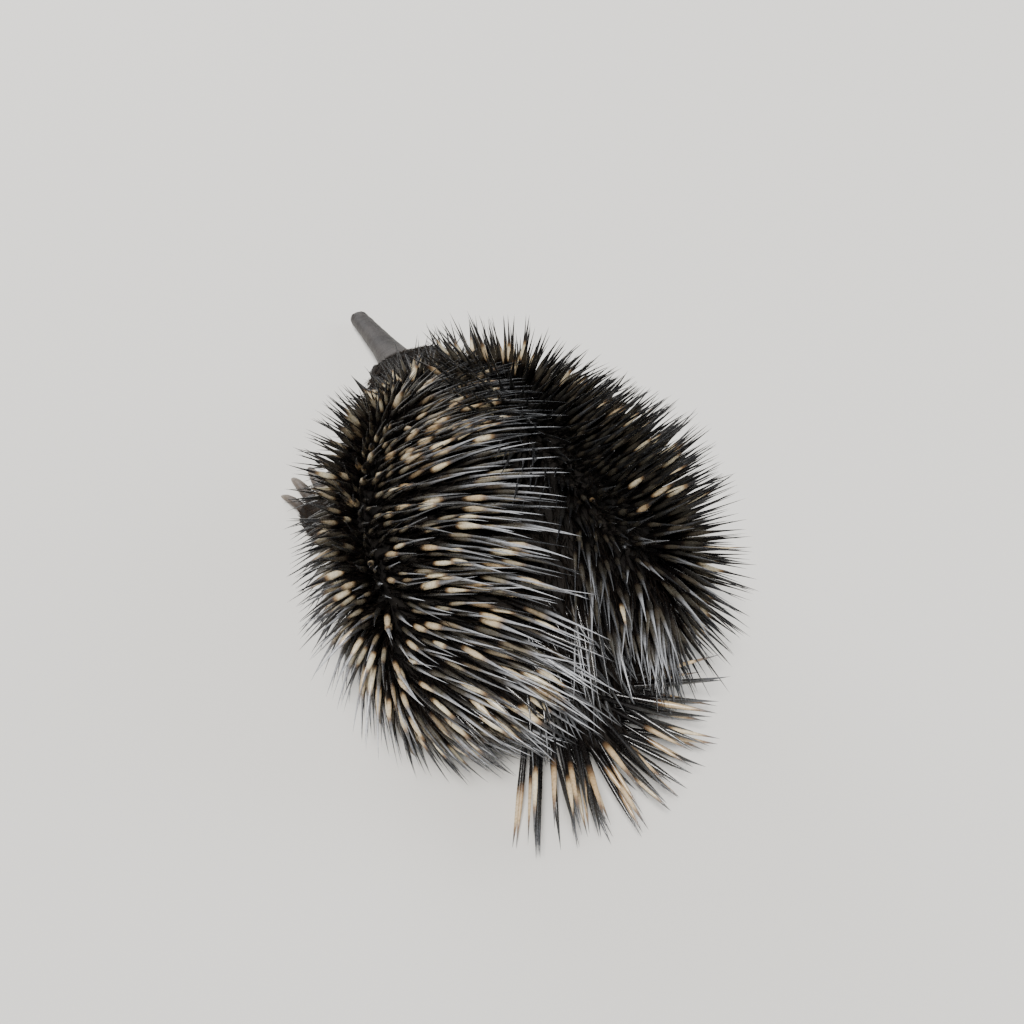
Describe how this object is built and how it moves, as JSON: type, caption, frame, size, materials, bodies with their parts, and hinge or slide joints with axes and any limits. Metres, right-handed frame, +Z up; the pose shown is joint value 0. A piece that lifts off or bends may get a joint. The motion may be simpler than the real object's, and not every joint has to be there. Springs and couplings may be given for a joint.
{
  "type": "echidna",
  "caption": "Short-beaked echidna, hunkered low with a bent back, its dome of banded spines parted along each side, head down and a fan of spines over the short tail.",
  "frame": {"origin": "middle of the plan outline on the floor, under the trunk", "axes": "+Z up from the floor, -Y toward the head, +X to the animal's left"},
  "size_m": [0.2238, 0.3708, 0.1463],
  "materials": {
    "quilled_coat": "dark skin under dense glossy spines, pale straw to tan in the middle and black at the tips, with blackish-brown fur between them",
    "fur": "coarse short blackish-brown fur",
    "beak_skin": "bare, smooth, finely wrinkled dark grey skin, slightly shiny",
    "eye": "wet black",
    "claw": "dark grey-brown horn, paler and worn at the tips"
  },
  "bodies": {
    "root": {"trunk": "quilled_coat", "neck": "quilled_coat", "tail": "quilled_coat", "head": "fur", "ear_l": "fur", "ear_r": "fur", "foreleg_l": "fur", "foreleg_r": "fur", "hindleg_l": "fur", "hindleg_r": "fur", "forefoot_l": "fur", "forefoot_r": "fur", "hindfoot_l": "fur", "hindfoot_r": "fur", "beak": "beak_skin", "eye_l": "eye", "eye_r": "eye", "claw_fl_1": "claw", "claw_fl_2": "claw", "claw_fl_3": "claw", "claw_fl_4": "claw", "claw_fl_5": "claw", "claw_fr_1": "claw", "claw_fr_2": "claw", "claw_fr_3": "claw", "claw_fr_4": "claw", "claw_fr_5": "claw", "claw_hl_1": "claw", "claw_hl_2": "claw", "claw_hl_3": "claw", "claw_hl_4": "claw", "claw_hl_5": "claw", "claw_hr_1": "claw", "claw_hr_2": "claw", "claw_hr_3": "claw", "claw_hr_4": "claw", "claw_hr_5": "claw"}
  },
  "joints": []
}
